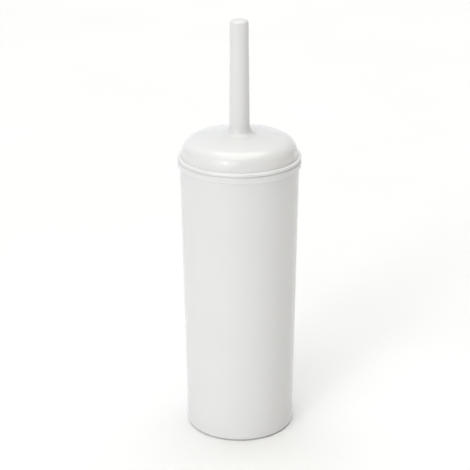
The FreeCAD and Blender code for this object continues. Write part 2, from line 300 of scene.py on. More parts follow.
class BrushSetSettings(bpy.types.PropertyGroup):
    """Everything that can be set for the brush set and its stage"""

    holder: PointerProperty(type=BrushSetHolderSizes)
    ring: PointerProperty(type=BrushSetRingSizes)
    cup: PointerProperty(type=BrushSetCupSizes)
    lid: PointerProperty(type=BrushSetLidSizes)
    handle: PointerProperty(type=BrushSetHandleSizes)
    washer: PointerProperty(type=BrushSetWasherSizes)
    bristles: PointerProperty(type=BrushSetBristleSizes)
    colours: PointerProperty(type=BrushSetColours)
    stage: PointerProperty(type=BrushSetStage)


# ---------------------------------------------------------------- outlines


def rounded_corner(before, corner, after, rounding):
    """Points of the arc that rounds one corner of an outline."""
    here = Vector(corner)
    back = (Vector(before) - here).normalized()
    ahead = (Vector(after) - here).normalized()
    turn = math.pi - back.angle(ahead)
    reach = rounding * math.tan(turn / 2)
    centre = here + (back + ahead).normalized() * rounding / math.cos(turn / 2)
    start = here + back * reach - centre
    side = 1 if back.cross(ahead) < 0 else -1
    steps = max(2, math.ceil(turn / ARC_STEP))
    points = []
    for step in range(steps + 1):
        angle = side * turn * step / steps
        turned = (
            start.x * math.cos(angle) - start.y * math.sin(angle),
            start.x * math.sin(angle) + start.y * math.cos(angle),
        )
        points.append((centre.x + turned[0], centre.y + turned[1]))
    return points


def curve(start, first, second, end, steps):
    """Points of a smooth curve between two points, pulled towards two controls, without its start."""
    points = []
    for step in range(1, steps + 1):
        t = step / steps
        s = 1 - t
        weights = (s**3, 3 * s * s * t, 3 * s * t * t, t**3)
        corners = (start, first, second, end)
        points.append(tuple(sum(w * c[axis] for w, c in zip(weights, corners)) for axis in (0, 1)))
    return points


def outline(*corners):
    """Points of an outline. A corner is (radius, height) or (radius, height, rounding)."""
    points = []
    last = len(corners) - 1
    for index, corner in enumerate(corners):
        if len(corner) == 3 and 0 < index < last:
            points += rounded_corner(corners[index - 1][:2], corner[:2], corners[index + 1][:2], corner[2])
        else:
            points.append(corner[:2])
    return with_edge_bands(points)


def with_edge_bands(points):
    """The outline with a point added near each end of its long straight runs."""
    banded = [points[0]]
    for before, after in zip(points, points[1:]):
        run = Vector(after) - Vector(before)
        if run.length > SHORTEST_BANDED:
            band = run.normalized() * EDGE_BAND
            banded += [(before[0] + band.x, before[1] + band.y), (after[0] - band.x, after[1] - band.y)]
        banded.append(after)
    return banded


# ---------------------------------------------------------------- node trees


class NodeBuilder:
    """Adds and joins the nodes of one tree."""

    def __init__(self, tree):
        self.tree = tree

    def add(self, kind, inputs=None, **settings):
        """A node with these settings, its inputs fed by name or number with values or outputs."""
        node = self.tree.nodes.new(kind)
        for name, value in settings.items():
            setattr(node, name, value)
        for key, value in (inputs or {}).items():
            self.feed(node.inputs[key], value)
        return node

    def feed(self, socket, value):
        """Sets an input to a value, or joins it to another node's output."""
        if isinstance(value, bpy.types.NodeSocket):
            self.tree.links.new(value, socket)
        else:
            socket.default_value = value

    def maths(self, operation, *values):
        """The result of a calculation with numbers."""
        kind = "ShaderNodeMath"
        return self.add(kind, dict(enumerate(values)), operation=operation).outputs[0]

    def vector_maths(self, operation, *values):
        """The result of a calculation with vectors."""
        kind = "ShaderNodeVectorMath"
        return self.add(kind, dict(enumerate(values)), operation=operation).outputs[0]

    def scaled(self, vector, factor):
        """The vector times a number."""
        node = self.add("ShaderNodeVectorMath", {0: vector, "Scale": factor}, operation="SCALE")
        return node.outputs[0]

    def vector(self, x, y, z):
        """A vector from its three parts."""
        return self.add("ShaderNodeCombineXYZ", {0: x, 1: y, 2: z}).outputs[0]

    def split(self, vector):
        """The three parts of a vector."""
        return self.add("ShaderNodeSeparateXYZ", {0: vector}).outputs


class GeometryTree(NodeBuilder):
    """A Geometry Nodes tree with named inputs."""

    def __init__(self, name):
        super().__init__(bpy.data.node_groups.new(name, "GeometryNodeTree"))
        self.tree.interface.new_socket("Geometry", in_out="OUTPUT", socket_type="NodeSocketGeometry")
        self.source = self.tree.nodes.new("NodeGroupInput")

    def inputs(self, kind, *names):
        """Named inputs of the tree, all of one kind."""
        for name in names:
            self.tree.interface.new_socket(name, in_out="INPUT", socket_type="NodeSocket" + kind)
        return [self.source.outputs[name] for name in names]

    def field(self, kind, **settings):
        """The first output of a node without inputs."""
        return self.add(kind, **settings).outputs[0]

    def keep(self, geometry, name, kind, domain, value):
        """Stores a named value on the geometry."""
        node = self.add(
            "GeometryNodeStoreNamedAttribute",
            {"Geometry": geometry, "Name": name, "Value": value},
            data_type=kind,
            domain=domain,
        )
        return node.outputs[0]

    def finish(self, geometry, material):
        """Ends the tree in smooth, real faces of one material."""
        real = self.add("GeometryNodeRealizeInstances", {"Geometry": geometry}).outputs[0]
        smooth = self.add("GeometryNodeSetShadeSmooth", {"Geometry": real}).outputs[0]
        painted = self.add("GeometryNodeSetMaterial", {"Geometry": smooth, "Material": material}).outputs[0]
        self.add("NodeGroupOutput", {0: painted})
        return self.tree


def turned_tree():
    """Turns the outline on the object about Z into a solid: the outline's points keep their order."""
    tree = GeometryTree("turned_moulding")
    [profile] = tree.inputs("Geometry", "Geometry")
    [steps] = tree.inputs("Int", "Steps round")
    [material] = tree.inputs("Material", "Material")
    points = tree.add("GeometryNodeAttributeDomainSize", {"Geometry": profile}).outputs["Point Count"]
    columns = tree.maths("ADD", steps, 1)
    grid = tree.add("GeometryNodeMeshGrid", {"Vertices X": points, "Vertices Y": columns})
    index = tree.field("GeometryNodeInputIndex")
    row = tree.maths("FLOOR", tree.maths("DIVIDE", tree.maths("ADD", index, 0.5), columns))
    column = tree.maths("SUBTRACT", index, tree.maths("MULTIPLY", row, columns))
    sample = tree.add(
        "GeometryNodeSampleIndex",
        {"Geometry": profile, "Value": tree.field("GeometryNodeInputPosition"), "Index": row},
        data_type="FLOAT_VECTOR",
    )
    radius, _, height = tree.split(sample.outputs[0])
    angle = tree.maths("MULTIPLY", tree.maths("DIVIDE", column, steps), TURN)
    place = tree.vector(
        tree.maths("MULTIPLY", radius, tree.maths("COSINE", angle)),
        tree.maths("MULTIPLY", radius, tree.maths("SINE", angle)),
        height,
    )
    marked = tree.keep(grid.outputs["Mesh"], "UVMap", "FLOAT2", "CORNER", tree.vector(angle, height, 0.0))
    shaped = tree.add("GeometryNodeSetPosition", {"Geometry": marked, "Position": place}).outputs[0]
    outward = tree.add("GeometryNodeFlipFaces", {"Mesh": shaped}).outputs[0]
    merged = tree.add("GeometryNodeMergeByDistance", {"Geometry": outward, "Distance": SEAM_MERGE}).outputs[0]
    return tree.finish(merged, material)


def spokes_tree():
    """Repeats the object's mesh evenly about Z."""
    tree = GeometryTree("ribs_round_axis")
    [rib] = tree.inputs("Geometry", "Geometry")
    [ribs] = tree.inputs("Int", "Ribs")
    [material] = tree.inputs("Material", "Material")
    points = tree.add("GeometryNodePoints", {"Count": ribs}).outputs[0]
    share = tree.maths("DIVIDE", tree.field("GeometryNodeInputIndex"), ribs)
    turn = tree.vector(0.0, 0.0, tree.maths("MULTIPLY", share, TURN))
    copies = tree.add("GeometryNodeInstanceOnPoints", {"Points": points, "Instance": rib, "Rotation": turn})
    return tree.finish(copies.outputs[0], material)


def bristle_tree():
    """One ring of tufts round the hub: every bristle runs from its hole and fans out to its tip."""
    tree = GeometryTree("bristle_ring")
    tufts, bristles, seed = tree.inputs("Int", "Tufts", "Bristles", "Seed")
    drop, centre_height, stagger = tree.inputs("Float", "Drop angle", "Centre height", "Stagger")
    hub_radius, head_radius = tree.inputs("Float", "Hub radius", "Head radius")
    root_depth, root_radius, tip_radius = tree.inputs("Float", "Root depth", "Root radius", "Tip radius")
    bristle_radius, unevenness, bend = tree.inputs("Float", "Bristle radius", "Unevenness", "Bend")
    [material] = tree.inputs("Material", "Material")

    def random(kind, low, high, item, offset):
        """A random value for each item. The offset keeps one use of the seed apart from the next."""
        inputs = {"ID": item, "Seed": tree.maths("ADD", seed, offset)}
        node = tree.add("FunctionNodeRandomValue", inputs, data_type=kind)
        sockets = [socket for socket in node.inputs if socket.enabled]
        tree.feed(sockets[0], low)
        tree.feed(sockets[1], high)
        return next(socket for socket in node.outputs if socket.enabled)

    index = tree.field("GeometryNodeInputIndex")
    tuft = tree.maths("FLOOR", tree.maths("DIVIDE", tree.maths("ADD", index, 0.5), bristles))
    strand = tree.maths("SUBTRACT", index, tree.maths("MULTIPLY", tuft, bristles))
    angle = tree.maths("MULTIPLY", tree.maths("DIVIDE", tree.maths("ADD", tuft, stagger), tufts), TURN)
    cosine, sine = tree.maths("COSINE", angle), tree.maths("SINE", angle)
    level, fall = tree.maths("COSINE", drop), tree.maths("SINE", drop)
    out = tree.vector(
        tree.maths("MULTIPLY", level, cosine),
        tree.maths("MULTIPLY", level, sine),
        tree.maths("MULTIPLY", fall, -1.0),
    )
    sideways = tree.vector(tree.maths("MULTIPLY", sine, -1.0), cosine, 0.0)
    lengthways = tree.vector_maths("CROSS_PRODUCT", out, sideways)

    share = tree.maths("DIVIDE", tree.maths("ADD", strand, 0.5), bristles)
    spread = tree.maths("SQRT", share)
    swirl = tree.maths(
        "ADD", tree.maths("MULTIPLY", strand, GOLDEN_ANGLE), random("FLOAT", 0.0, TURN, tuft, 1)
    )
    offset = tree.scaled(
        tree.vector_maths(
            "ADD",
            tree.scaled(sideways, tree.maths("COSINE", swirl)),
            tree.scaled(lengthways, tree.maths("SINE", swirl)),
        ),
        spread,
    )
    centre = tree.vector(0.0, 0.0, centre_height)
    short = random("FLOAT", 0.0, 1.0, index, 2)
    reach = tree.maths("SUBTRACT", head_radius, tree.maths("MULTIPLY", short, unevenness))

    def point(distance, radius):
        """Where each bristle passes at this distance from the axis, in a tuft of this radius there."""
        middle = tree.vector_maths("ADD", centre, tree.scaled(out, distance))
        return tree.vector_maths("ADD", middle, tree.scaled(offset, radius))

    root = point(tree.maths("SUBTRACT", hub_radius, root_depth), root_radius)
    tip = point(reach, tip_radius)
    along = tree.vector_maths("SUBTRACT", tip, root)
    span = tree.add("ShaderNodeVectorMath", {0: along}, operation="LENGTH").outputs["Value"]
    aim = tree.add("FunctionNodeAlignRotationToVector", {"Vector": along}, axis="Z").outputs[0]

    total = tree.maths("MULTIPLY", tufts, bristles)
    points = tree.add("GeometryNodePoints", {"Count": total, "Position": root})
    unit_strand = {"Vertices": BRISTLE_SIDES, "Side Segments": BRISTLE_SEGMENTS, "Radius": 1.0, "Depth": 1.0}
    strand_mesh = tree.add("GeometryNodeMeshCylinder", unit_strand).outputs["Mesh"]
    raised = tree.add("GeometryNodeTransform", {"Geometry": strand_mesh, "Translation": (0.0, 0.0, 0.5)})
    height = tree.split(tree.field("GeometryNodeInputPosition"))[2]
    template = tree.keep(raised.outputs[0], "along", "FLOAT", "POINT", height)
    copies = tree.add(
        "GeometryNodeInstanceOnPoints",
        {
            "Points": points.outputs[0],
            "Instance": template,
            "Rotation": aim,
            "Scale": tree.vector(bristle_radius, bristle_radius, span),
        },
    ).outputs[0]
    lean = random("FLOAT_VECTOR", (-1.0, -1.0, -1.0), (1.0, 1.0, 1.0), index, 3)
    shade = random("FLOAT", 0.0, 1.0, index, 4)
    copies = tree.keep(copies, "lean", "FLOAT_VECTOR", "INSTANCE", tree.scaled(lean, bend))
    copies = tree.keep(copies, "shade", "FLOAT", "INSTANCE", shade)
    real = tree.add("GeometryNodeRealizeInstances", {"Geometry": copies}).outputs[0]
    rise = tree.add("GeometryNodeInputNamedAttribute", {"Name": "along"}, data_type="FLOAT").outputs[0]
    leaning = tree.add("GeometryNodeInputNamedAttribute", {"Name": "lean"}, data_type="FLOAT_VECTOR")
    shift = tree.scaled(leaning.outputs[0], tree.maths("POWER", rise, 2.0))
    bent = tree.add("GeometryNodeSetPosition", {"Geometry": real, "Offset": shift}).outputs[0]
    return tree.finish(bent, material)


# ---------------------------------------------------------------- pieces


def new_piece(name, points=(), edges=(), faces=()):
    """A named object at the origin with this mesh."""
    mesh = bpy.data.meshes.new(name)
    mesh.from_pydata(list(points), list(edges), list(faces))
    piece = bpy.data.objects.new(name, mesh)
    bpy.context.scene.collection.objects.link(piece)
    return piece


def grow(piece, tree, **inputs):
    """Runs a Geometry Nodes tree on the piece, and keeps the result as its plain mesh."""
    modifier = piece.modifiers.new(tree.name, "NODES")
    modifier.node_group = tree
    for item in tree.interface.items_tree:
        label = item.name.lower().replace(" ", "_")
        if item.in_out == "INPUT" and label in inputs:
            modifier[item.identifier] = inputs[label]
    bpy.context.view_layer.update()
    depsgraph = bpy.context.evaluated_depsgraph_get()
    grown = bpy.data.meshes.new_from_object(
        piece.evaluated_get(depsgraph), preserve_all_data_layers=True, depsgraph=depsgraph
    )
    if not grown.polygons:
        raise RuntimeError(f"the tree {tree.name} made nothing for {piece.name}")
    bare = piece.data
    piece.modifiers.remove(modifier)
    piece.data = grown
    bpy.data.meshes.remove(bare)
    grown.name = piece.name
    grown.set_sharp_from_angle(angle=SHARP_ANGLE)
    return piece


def turned(name, points, material):
    """A piece turned about Z from an outline."""
    profile = [(radius, 0.0, height) for radius, height in points]
    edges = [(index, index + 1) for index in range(len(points) - 1)]
    piece = new_piece(name, profile, edges)
    return grow(piece, turned_tree(), steps_round=STEPS_ROUND, material=material)


def rib_plate(name, points, width, rounding):
    """One upright plate through the X axis, from an outline of (distance, height) points, with soft edges."""
    plate = new_piece(name)
    shape = bmesh.new()
    near = [shape.verts.new((x, -width / 2, z)) for x, z in points]
    face = shape.faces.new(near)
    far = bmesh.ops.extrude_face_region(shape, geom=[face])["geom"]
    moved = [item for item in far if isinstance(item, bmesh.types.BMVert)]
    bmesh.ops.translate(shape, verts=moved, vec=(0.0, width, 0.0))
    bmesh.ops.recalc_face_normals(shape, faces=shape.faces)
    bmesh.ops.bevel(
        shape, geom=list(shape.edges), offset=rounding, segments=2, profile=0.5, affect="EDGES"
    )
    shape.to_mesh(plate.data)
    shape.free()
    return plate


def absorb(piece, other):
    """Moves the other object's faces into the piece."""
    shape = bmesh.new()
    shape.from_mesh(piece.data)
    shape.from_mesh(other.data)
    shape.to_mesh(piece.data)
    shape.free()
    spent = other.data
    bpy.data.objects.remove(other)
    bpy.data.meshes.remove(spent)
    return piece


def with_ribs(piece, points, width, rounding, ribs, material):
    """The piece with upright ribs of this outline spread round its axis."""
    plate = rib_plate(piece.name + "_ribs", points, width, rounding)
    return absorb(piece, grow(plate, spokes_tree(), ribs=ribs, material=material))


def stand_for(piece, body, slot, *nodes):
    """Parents the finished piece to its body's empty and hides the carried-over nodes that it replaces."""
    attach(piece, body)
    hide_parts(*nodes)


def repaint(node, material):
    """Gives a carried-over node its finish."""
    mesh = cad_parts[node].data
    mesh.materials.clear()
    mesh.materials.append(material)


# ---------------------------------------------------------------- materials


class Finish(NodeBuilder):
    """A material under construction, on Object coordinates."""

    def __init__(self, name):
        self.material = bpy.data.materials.new(name)
        self.material.use_nodes = True
        super().__init__(self.material.node_tree)
        self.shader = self.tree.nodes["Principled BSDF"]
        self.place = self.add("ShaderNodeTexCoord").outputs["Object"]

    def noise(self, scale, detail=2.0, stretch=(1.0, 1.0, 1.0)):
        """Noise with features of about 1/scale metres."""
        place = self.add("ShaderNodeMapping", {"Vector": self.place, "Scale": stretch}).outputs[0]
        inputs = {"Vector": place, "Scale": scale, "Detail": detail}
        return self.add("ShaderNodeTexNoise", inputs).outputs["Fac"]

    def between(self, value, low, high, from_low=0.3, from_high=0.7):
        """The value spread from one range to another. Noise mostly lies within the default range."""
        inputs = {"Value": value, "From Min": from_low, "From Max": from_high, "To Min": low, "To Max": high}
        return self.add("ShaderNodeMapRange", inputs).outputs["Result"]

    def mixed(self, amount, first, second):
        """A colour between two others."""
        node = self.add("ShaderNodeMix", data_type="RGBA")
        self.feed(node.inputs["Factor"], amount)
        colours = [socket for socket in node.inputs if socket.type == "RGBA"]
        self.feed(colours[0], (*first, 1.0))
        self.feed(colours[1], (*second, 1.0))
        return next(socket for socket in node.outputs if socket.type == "RGBA")

    def bump(self, height, depth, below=None):
        """Normals for a relief of this depth in metres, over another one."""
        inputs = {"Height": height, "Distance": depth, "Strength": 1.0}
        if below is not None:
            inputs["Normal"] = below
        return self.add("ShaderNodeBump", inputs).outputs[0]

    def shade(self, **sockets):
        """Feeds the shader's sockets, named with underscores for spaces."""
        for name, value in sockets.items():
            self.feed(self.shader.inputs[name.replace("_", " ").title().replace("Ior", "IOR")], value)
        return self.material


def tinted(value, factor):
    """The colour made lighter or darker."""
    return tuple(min(1.0, part * factor) for part in value)


def moulded_plastic(name, white, gloss_low, gloss_high, grain_depth):
    """White moulded plastic: faint clouding, uneven gloss, fine orange peel and hairline handling marks."""
    finish = Finish(name)
    cloud = finish.between(finish.noise(scale=14.0, detail=3.0), 0.0, 1.0)
    gloss = finish.between(finish.noise(scale=45.0, detail=4.0), gloss_low, gloss_high)
    hairlines = finish.noise(scale=420.0, detail=1.0, stretch=(1.0, 1.0, 0.04))
    marks = finish.between(hairlines, 0.0, 0.05, from_low=0.62, from_high=0.72)
    peel = finish.noise(scale=850.0)
    swell = finish.noise(scale=60.0)
    relief = finish.bump(peel, depth=grain_depth, below=finish.bump(swell, depth=6 * grain_depth))
    return finish.shade(
        base_color=finish.mixed(cloud, tinted(white, 0.985), tinted(white, 1.01)),
        roughness=finish.maths("ADD", gloss, marks),
        ior=1.49,
        subsurface_weight=0.08,
        subsurface_radius=(1.0, 0.95, 0.85),
        subsurface_scale=1.2 * MM,
        normal=relief,
    )


def nylon_bristle(white):
    """Nylon filament: each bristle a slightly different white, a little translucent."""
    finish = Finish("nylon_bristle")
    shade = finish.add("ShaderNodeAttribute", attribute_name="shade").outputs["Fac"]
    drawn = finish.noise(scale=2600.0, detail=1.0)
    return finish.shade(
        base_color=finish.mixed(shade, tinted(white, 0.90), tinted(white, 1.04)),
        roughness=finish.between(drawn, 0.30, 0.42),
        ior=1.53,
        subsurface_weight=0.25,
        subsurface_radius=(1.0, 1.0, 0.9),
        subsurface_scale=0.8 * MM,
    )


def soft_rubber(name, tone, gloss_low, gloss_high, grain):
    """Matt rubber with a fine grain."""
    finish = Finish(name)
    cloud = finish.between(finish.noise(scale=90.0, detail=4.0), 0.0, 1.0)
    fine = finish.noise(scale=grain, detail=3.0)
    return finish.shade(
        base_color=finish.mixed(cloud, tinted(tone, 0.88), tinted(tone, 1.12)),
        roughness=finish.between(fine, gloss_low, gloss_high),
        ior=1.5,
        normal=finish.bump(fine, depth=0.02 * MM),
    )


def staple_wire(tone):
    """Flat drawn wire, with faint lines along it."""
    finish = Finish("staple_wire")
    lines = finish.noise(scale=5000.0, stretch=(1.0, 1.0, 0.1))
    return finish.shade(
        base_color=finish.mixed(lines, tinted(tone, 0.8), tinted(tone, 1.1)),
        metallic=1.0,
        roughness=finish.between(lines, 0.25, 0.45),
        normal=finish.bump(lines, depth=0.004 * MM),
    )


def pale_floor(tone):
    """Plain pale floor with barely visible clouding."""
    finish = Finish("pale_floor")
    cloud = finish.between(finish.noise(scale=3.0, detail=4.0), 0.0, 1.0)
    return finish.shade(
        base_color=finish.mixed(cloud, tinted(tone, 0.99), tinted(tone, 1.01)),
        roughness=finish.between(cloud, 0.55, 0.6),
    )


def material_for(name):
    """The named finish, made the first time that it is asked for."""
    ready = bpy.data.materials.get(name)
    if ready:
        return ready
    colours = bpy.context.scene.brush_set.colours
    glossy = {"gloss_low": 0.10, "gloss_high": 0.16, "grain_depth": 0.002 * MM}
    satin = {"gloss_low": 0.24, "gloss_high": 0.36, "grain_depth": 0.005 * MM}
    grippy = {"gloss_low": 0.6, "gloss_high": 0.78, "grain": 1800.0}
    smooth = {"gloss_low": 0.5, "gloss_high": 0.68, "grain": 2400.0}
    makers = {
        "glossy_white_moulding": lambda: moulded_plastic(name, colours.outer, **glossy),
        "satin_white_moulding": lambda: moulded_plastic(name, colours.inner, **satin),
        "nylon_bristle": lambda: nylon_bristle(colours.bristle),
        "soft_grey_rubber": lambda: soft_rubber(name, colours.soft_ring, **grippy),
        "black_washer_rubber": lambda: soft_rubber(name, colours.washer, **smooth),
        "staple_wire": lambda: staple_wire(colours.staple),
        "pale_floor": lambda: pale_floor(colours.floor),
    }
    return makers[name]()


# ---------------------------------------------------------------- operators


class BRUSHSET_OT_holder(bpy.types.Operator):
    """Build the tapered holder with its rim band and the groove under its floor"""

    bl_idname = "brush_set.holder"
    bl_label = "Holder"

    def execute(self, context):
        sizes = context.scene.brush_set.holder
        low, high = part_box("holder_shell")
        ring_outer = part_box("anti_slip_ring")[1].x
        ring_inner = ring_outer - context.scene.brush_set.ring.width
        keeper = ring_inner - sizes.keeper_wall
        taper = (sizes.top_radius - sizes.base_radius) / sizes.band_bottom
        foot = sizes.base_radius + taper * low.z
        mouth = sizes.base_radius + taper * high.z - sizes.wall
        inner_floor = sizes.base_radius + taper * sizes.floor_top - sizes.wall
        points = outline(
            (0.0, sizes.floor_underside),
            (keeper, sizes.floor_underside, sizes.keeper_edge),
            (keeper, low.z, sizes.keeper_edge),
            (ring_inner, low.z, sizes.groove_edge),
            (ring_inner, sizes.floor_underside),
            (ring_outer, sizes.floor_underside),
            (ring_outer, low.z, sizes.groove_edge),
            (foot, low.z, sizes.foot_rounding),
            (sizes.top_radius, sizes.band_bottom, sizes.band_fillet),
            (high.x, sizes.band_bottom + sizes.band_slope, sizes.band_edge),
            (high.x, high.z, sizes.rim_rounding),
            (mouth, high.z, sizes.mouth_edge),
            (inner_floor, sizes.floor_top, sizes.inner_corner),
            (0.0, sizes.floor_top),
        )
        piece = turned("holder", points, material_for("glossy_white_moulding"))
        stand_for(piece, "holder", "body_plastic", "holder_shell")
        return {"FINISHED"}


class BRUSHSET_OT_soft_ring(bpy.types.Operator):
    """Build the soft ring that the holder stands on"""

    bl_idname = "brush_set.soft_ring"
    bl_label = "Soft ring"

    def execute(self, context):
        sizes = context.scene.brush_set.ring
        low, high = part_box("anti_slip_ring")
        inner = high.x - sizes.width
        middle = (inner + high.x) / 2
        points = outline(
            (inner, high.z),
            (inner, low.z, sizes.edge),
            (middle - sizes.channel_half, low.z, sizes.channel_edge),
            (middle, low.z + sizes.channel_depth, sizes.channel_edge),
            (middle + sizes.channel_half, low.z, sizes.channel_edge),
            (high.x, low.z, sizes.edge),
            (high.x, high.z),
            (inner, high.z),
        )
        piece = turned("soft_ring", points, material_for("soft_grey_rubber"))
        stand_for(piece, "holder", "soft_ring", "anti_slip_ring")
        return {"FINISHED"}


class BRUSHSET_OT_drip_cup(bpy.types.Operator):
    """Build the loose drip cup with the ribs on its floor"""

    bl_idname = "brush_set.drip_cup"
    bl_label = "Drip cup"

    def execute(self, context):
        sizes = context.scene.brush_set.cup
        low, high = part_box("drip_cup")
        floor = low.z + sizes.wall
        band = high.z - sizes.rim_height
        points = outline(
            (0.0, low.z),
            (sizes.base_radius, low.z, sizes.foot_rounding),
            (sizes.top_radius, band - sizes.rim_slope, sizes.rim_edge),
            (high.x, band, sizes.rim_edge),
            (high.x, high.z, sizes.rim_rounding),
            (sizes.top_radius - sizes.wall, high.z, sizes.rim_rounding),
            (sizes.base_radius - sizes.wall, floor, sizes.inner_corner),
            (0.0, floor),
        )
        material = material_for("satin_white_moulding")
        piece = turned("drip_cup_moulding", points, material)
        rib_foot = floor - sizes.rib_sink
        rib_top = floor + sizes.rib_height
        rib = (
            (sizes.rib_start, rib_foot),
            (sizes.rib_end, rib_foot),
            (sizes.rib_end, rib_top),
            (sizes.rib_start, rib_top),
        )
        with_ribs(piece, rib, sizes.rib_width, sizes.rib_edge, sizes.ribs, material)
        stand_for(piece, "cup", "inner_plastic", "drip_cup")
        return {"FINISHED"}


class BRUSHSET_OT_lid(bpy.types.Operator):
    """Build the domed lid with its flange, skirt, boss and ribs"""

    bl_idname = "brush_set.lid"
    bl_label = "Lid"

    def crown_height(self, sizes, radius, inset=0.0):
        """Height of the crown, or of the surface this far inside it, at a distance from the axis."""
        sphere = sizes.crown_radius - inset
        return sizes.crown_top - sizes.crown_radius + math.sqrt(sphere**2 - radius**2)

    def crown(self, sizes, inner, outer, inset=0.0):
        """Points across the crown, from one distance from the axis to another."""
        radii = [inner + (outer - inner) * step / CROWN_STEPS for step in range(CROWN_STEPS + 1)]
        return [(radius, self.crown_height(sizes, radius, inset)) for radius in radii]

    def shoulder(self, sizes, inset=0.0):
        """Points up the shoulder, from the upright wall to the crown."""
        start = (sizes.wall_radius - inset, sizes.shoulder_bottom)
        end = (sizes.shoulder_end, self.crown_height(sizes, sizes.shoulder_end, inset))
        reach = sizes.fullness * (start[0] - end[0])
        rise = sizes.fullness * (end[1] - start[1])
        slope = end[0] / (sizes.crown_radius - inset)
        first = (start[0], start[1] + rise)
        second = (end[0] + reach, end[1] - reach * slope)
        return [start] + curve(start, first, second, end, SHOULDER_STEPS)

    def execute(self, context):
        sizes = context.scene.brush_set.lid
        low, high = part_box("lid")
        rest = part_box("holder_shell")[1].z
        foot_low, foot_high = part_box("handle")
        recess = foot_high.x + sizes.foot_gap
        skirt_inner = sizes.skirt_radius - sizes.skirt_wall
        flange_top = rest + sizes.flange_thickness
        inner_crown = self.crown(sizes, sizes.boss_radius, sizes.shoulder_end, sizes.thickness)
        outer_crown = self.crown(sizes, recess, sizes.shoulder_end)
        points = outline(
            (sizes.neck_bore, sizes.boss_bottom),
            (sizes.boss_radius, sizes.boss_bottom, sizes.boss_edge),
            *inner_crown,
            *reversed(self.shoulder(sizes, sizes.thickness)),
            (skirt_inner, rest + sizes.skirt_root, sizes.edge),
            (skirt_inner, low.z, sizes.edge),
            (sizes.skirt_radius, low.z, sizes.edge),
            (sizes.skirt_radius, rest),
            (high.x, rest, sizes.edge),
            (high.x, flange_top, sizes.flange_rounding),
            (sizes.wall_radius, flange_top, sizes.flange_fillet),
            *self.shoulder(sizes),
            *reversed(outer_crown),
            (recess, foot_low.z),
            (sizes.neck_bore, foot_low.z),
            (sizes.neck_bore, sizes.boss_bottom),
        )
        material = material_for("glossy_white_moulding")
        piece = turned("lid_moulding", points, material)
        bite = sizes.rib_bite
        under_crown = self.crown(sizes, sizes.boss_radius - bite, sizes.rib_reach, sizes.thickness - bite)
        rib = [(under_crown[0][0], sizes.rib_bottom), (sizes.rib_reach, sizes.rib_bottom)]
        rib += reversed(under_crown[::RIB_STRIDE])
        with_ribs(piece, rib, sizes.rib_width, sizes.rib_edge, sizes.ribs, material)
        stand_for(piece, "cover", "body_plastic", "lid")
        return {"FINISHED"}


class BRUSHSET_OT_handle(bpy.types.Operator):
    """Build the tapered grip with its trumpet-shaped foot and round top"""

    bl_idname = "brush_set.handle"
    bl_label = "Handle"

    def execute(self, context):
        sizes = context.scene.brush_set.handle
        low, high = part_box("handle")
        rim = low.z + sizes.foot_rim
        flare_start = (high.x, rim)
        flare = curve(
            flare_start,
            (high.x - sizes.flare_run, rim + sizes.flare_lift),
            (sizes.base_radius, rim + sizes.flare_drop),
            (sizes.base_radius, rim + sizes.flare_height),
            HANDLE_STEPS,
        )
        top_start = (sizes.top_radius, high.z - sizes.top_rounding)
        top = curve(
            top_start,
            (sizes.top_radius - sizes.top_lean, high.z - sizes.top_turn),
            (sizes.top_radius - sizes.top_flat, high.z),
            (0.0, high.z),
            HANDLE_STEPS,
        )
        points = outline(
            (sizes.bore, low.z),
            (high.x, low.z, sizes.foot_edge),
            flare_start,
            *flare,
            top_start,
            *top,
            (0.0, sizes.bore_top),
            (sizes.bore, sizes.bore_top - sizes.bore_cone, sizes.bore_rounding),
            (sizes.bore, low.z),
        )
        piece = turned("handle_moulding", points, material_for("glossy_white_moulding"))
        stand_for(piece, "grip", "body_plastic", "handle")
        return {"FINISHED"}


class BRUSHSET_OT_washer(bpy.types.Operator):
    """Build the rubber washer between the shank and the head"""

    bl_idname = "brush_set.washer"
    bl_label = "Washer"

    def execute(self, context):
        sizes = context.scene.brush_set.washer
        low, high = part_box("head_washer")
        middle = (low.z + high.z) / 2
        points = outline(
            (sizes.bore, middle),
            (sizes.bore, low.z, sizes.edge),
            (high.x, low.z, sizes.edge),
            (high.x, high.z, sizes.edge),
            (sizes.bore, high.z, sizes.edge),
            (sizes.bore, middle),
        )
        piece = turned("washer", points, material_for("black_washer_rubber"))
        stand_for(piece, "seal", "washer_rubber", "head_washer")
        return {"FINISHED"}


class BRUSHSET_OT_bristles(bpy.types.Operator):
    """Grow every ring of bristles round the hub"""

    bl_idname = "brush_set.bristles"
    bl_label = "Bristles"

    def grow_row(self, sizes, tree, number, tufts, drop, height, stagger):
        """One row of tufts, in place of its plain cones. A row of a single tuft is the crown tuft."""
        node = f"bristle_row_{number}" if tufts > 1 else "crown_tuft"
        piece = new_piece(node + "_bristles")
        values = {name: getattr(sizes, name) for name in sizes.__annotations__}
        values.update(tufts=tufts, drop_angle=drop, centre_height=height, stagger=stagger)
        grow(piece, tree, seed=SEEDS_PER_ROW * number, material=material_for("nylon_bristle"), **values)
        stand_for(piece, "head", "bristles", node)

    def execute(self, context):
        sizes = context.scene.brush_set.bristles
        tree = bristle_tree()
        number = 0
        for row in reversed(range(STRAIGHT_ROWS)):
            number += 1
            height = sizes.first_row + row * sizes.row_spacing
            self.grow_row(sizes, tree, number, sizes.tufts, 0.0, height, STRAIGHT_STAGGER * (row % 2))
        for degrees, tufts in ROUND_END_ROWS:
            number += 1
            drop = math.radians(degrees)
            self.grow_row(sizes, tree, number, tufts, drop, sizes.dome_centre, ROUND_END_STAGGER)
        return {"FINISHED"}


class BRUSHSET_OT_carried_parts(bpy.types.Operator):
    """Give the shank, the hub and the tuft anchors their finishes"""

    bl_idname = "brush_set.carried_parts"
    bl_label = "Shank, hub and anchors"

    def execute(self, context):
        repaint("shank", material_for("satin_white_moulding"))
        repaint("head_core", material_for("satin_white_moulding"))
        repaint("tuft_anchors", material_for("staple_wire"))
        return {"FINISHED"}


